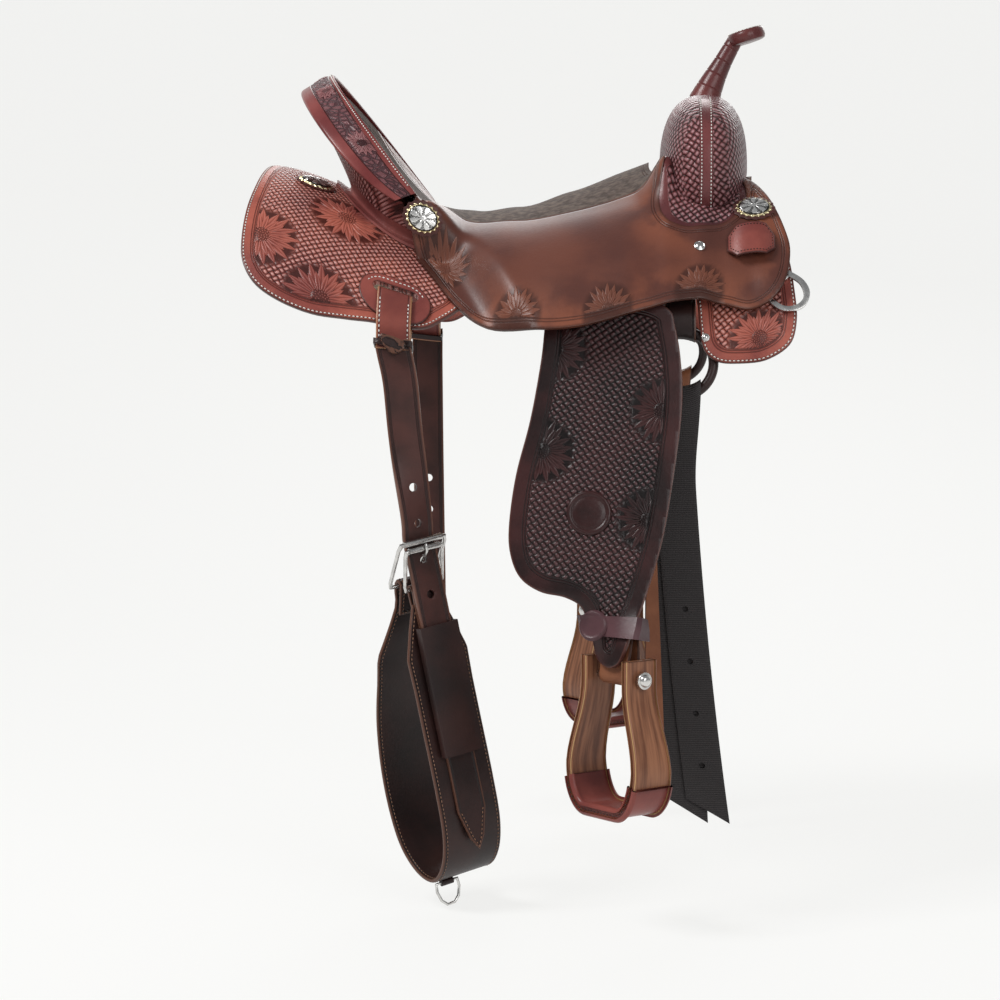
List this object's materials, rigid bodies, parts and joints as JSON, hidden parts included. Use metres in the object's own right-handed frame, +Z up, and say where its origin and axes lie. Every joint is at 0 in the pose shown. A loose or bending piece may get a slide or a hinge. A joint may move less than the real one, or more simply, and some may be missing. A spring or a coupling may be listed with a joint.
{
  "type": "barrel racing saddle",
  "caption": "Western barrel racing saddle with tooled leather, tall horn, deep seat, hanging fenders and stirrups, front billets and a doubled rear flank cinch.",
  "frame": {"origin": "on the centre plane, midway along the skirts, at the height of the horse's spine under the middle of the tree", "axes": "+X to the horse's head, +Y to its near (left) side, +Z up"},
  "size_m": [0.6274, 0.7373, 0.9946],
  "materials": {
    "oxblood_leather": "tooled, satin",
    "seat_leather": "smooth, satin, roughout seat top",
    "fender_leather": "tooled, satin",
    "flank_leather": "smooth, oiled",
    "russet_leather": "plain, oiled",
    "fleece": "woolskin pile",
    "foam": "felted ground seat",
    "rawhide_tree": "rawhide covered",
    "stirrup_wood": "laminated, varnished",
    "black_nylon": "ribbed webbing",
    "stainless": "polished stainless",
    "silver": "engraved silver"
  },
  "bodies": {
    "saddle": {"cantle_back": "oxblood_leather", "cantle_binding": "oxblood_leather", "concho_cantle_left": "silver", "concho_cantle_right": "silver", "concho_front_left": "silver", "concho_front_right": "silver", "concho_rear_left": "silver", "concho_rear_right": "silver", "flank_fold_left": "oxblood_leather", "flank_fold_right": "oxblood_leather", "flank_lace_left": "flank_leather", "flank_lace_right": "flank_leather", "fleece_left": "fleece", "fleece_right": "fleece", "fork_cover": "oxblood_leather", "ground_seat": "foam", "horn": "oxblood_leather", "horn_wrap": "oxblood_leather", "rigging_plate_left": "flank_leather", "rigging_plate_right": "flank_leather", "saddle_tree": "rawhide_tree", "seat_leather": "seat_leather", "skirt_left": "oxblood_leather", "skirt_right": "oxblood_leather", "slot_plate_left": "oxblood_leather", "slot_plate_right": "oxblood_leather", "stirrup_leather_loop_left": "russet_leather", "stirrup_leather_loop_right": "russet_leather", "strap_keeper_left": "oxblood_leather", "strap_keeper_right": "oxblood_leather"},
    "right_fender": {"fender_right": "fender_leather", "stirrup_leather_right": "russet_leather", "hobble_strap_right": "fender_leather", "stirrup_bolt_right": "stainless"},
    "left_fender": {"fender_left": "fender_leather", "stirrup_leather_left": "russet_leather", "hobble_strap_left": "fender_leather", "stirrup_bolt_left": "stainless"},
    "right_stirrup": {"stirrup_right": "stirrup_wood", "stirrup_tread_right": "oxblood_leather"},
    "left_stirrup": {"stirrup_left": "stirrup_wood", "stirrup_tread_left": "oxblood_leather"},
    "right_ring": {"rigging_ring_right": "flank_leather"},
    "left_ring": {"rigging_ring_left": "flank_leather"},
    "off_billet_strap": {"off_billet": "black_nylon"},
    "latigo_strap": {"latigo": "russet_leather"},
    "left_flank_billet": {"flank_billet_left": "flank_leather"},
    "right_flank_gear": {"flank_billet_right": "flank_leather", "flank_cinch": "flank_leather", "flank_chape": "flank_leather", "flank_buckle_front": "stainless", "flank_buckle_rear": "stainless", "flank_tongue": "stainless", "flank_keeper": "flank_leather", "cinch_dee_loop": "flank_leather"},
    "front_roller": {"buckle_roller_front": "stainless"},
    "rear_roller": {"buckle_roller_rear": "stainless"},
    "cinch_ring": {"cinch_dee": "stainless"},
    "right_breast_ring": {"breast_dee_right": "stainless"},
    "left_breast_ring": {"breast_dee_left": "stainless"}
  },
  "joints": [
    {"name": "right_fender_swing", "type": "hinge", "parent": "saddle", "child": "right_fender", "pos_m": [0.108, -0.221, -0.03], "axis": [0, -0.9744, 0.225], "range_deg": [-8, 30]},
    {"name": "left_fender_swing", "type": "hinge", "parent": "saddle", "child": "left_fender", "pos_m": [0.108, 0.221, -0.03], "axis": [0, -0.9744, -0.225], "range_deg": [-15, 30]},
    {"name": "right_stirrup_swing", "type": "hinge", "parent": "right_fender", "child": "right_stirrup", "pos_m": [0.118, -0.30758, -0.40103], "axis": [-0.6428, 0.766, 0], "range_deg": [-10, 45]},
    {"name": "left_stirrup_swing", "type": "hinge", "parent": "left_fender", "child": "left_stirrup", "pos_m": [0.1047, 0.30761, -0.40115], "axis": [0.766, 0.6428, 0], "range_deg": [-10, 45]},
    {"name": "right_ring_swing", "type": "hinge", "parent": "saddle", "child": "right_ring", "pos_m": [0.184, -0.2115, -0.03167], "axis": [1, 0, 0], "range_deg": [-1, 10]},
    {"name": "left_ring_swing", "type": "hinge", "parent": "saddle", "child": "left_ring", "pos_m": [0.184, 0.2115, -0.03167], "axis": [-1, 0, 0], "range_deg": [-1, 10]},
    {"name": "off_billet_swing", "type": "hinge", "parent": "right_ring", "child": "off_billet_strap", "pos_m": [0.184, -0.22335, -0.1037], "axis": [1, 0, 0], "range_deg": [-1.5, 15]},
    {"name": "latigo_swing", "type": "hinge", "parent": "left_ring", "child": "latigo_strap", "pos_m": [0.184, 0.22335, -0.1037], "axis": [-1, 0, 0], "range_deg": [-1.5, 12]},
    {"name": "right_flank_swing", "type": "hinge", "parent": "saddle", "child": "right_flank_gear", "pos_m": [-0.127, -0.24778, -0.05861], "axis": [-1, 0, 0], "range_deg": [-10, 20]},
    {"name": "left_flank_swing", "type": "hinge", "parent": "saddle", "child": "left_flank_billet", "pos_m": [-0.127, 0.24778, -0.05861], "axis": [1, 0, 0], "range_deg": [-10, 20]},
    {"name": "front_roller_spin", "type": "hinge", "parent": "right_flank_gear", "child": "front_roller", "pos_m": [-0.09592, -0.24455, -0.26971], "axis": [0.797, 0.5815, 0.1634], "continuous": true},
    {"name": "rear_roller_spin", "type": "hinge", "parent": "right_flank_gear", "child": "rear_roller", "pos_m": [-0.09706, -0.24536, -0.26127], "axis": [0.797, 0.5815, 0.1634], "continuous": true},
    {"name": "cinch_dee_swing", "type": "hinge", "parent": "right_flank_gear", "child": "cinch_ring", "pos_m": [-0.07464, -0.19762, -0.6507], "axis": [0.797, 0.5815, 0.1634], "range_deg": [-30, 30]},
    {"name": "right_breast_dee_lift", "type": "hinge", "parent": "saddle", "child": "right_breast_ring", "pos_m": [0.29034, -0.2068, 0.01642], "axis": [-0.6556, -0.3408, -0.6738], "range_deg": [0, 9]},
    {"name": "left_breast_dee_lift", "type": "hinge", "parent": "saddle", "child": "left_breast_ring", "pos_m": [0.29034, 0.2068, 0.01642], "axis": [0.6556, -0.3408, 0.6738], "range_deg": [0, 9]}
  ]
}
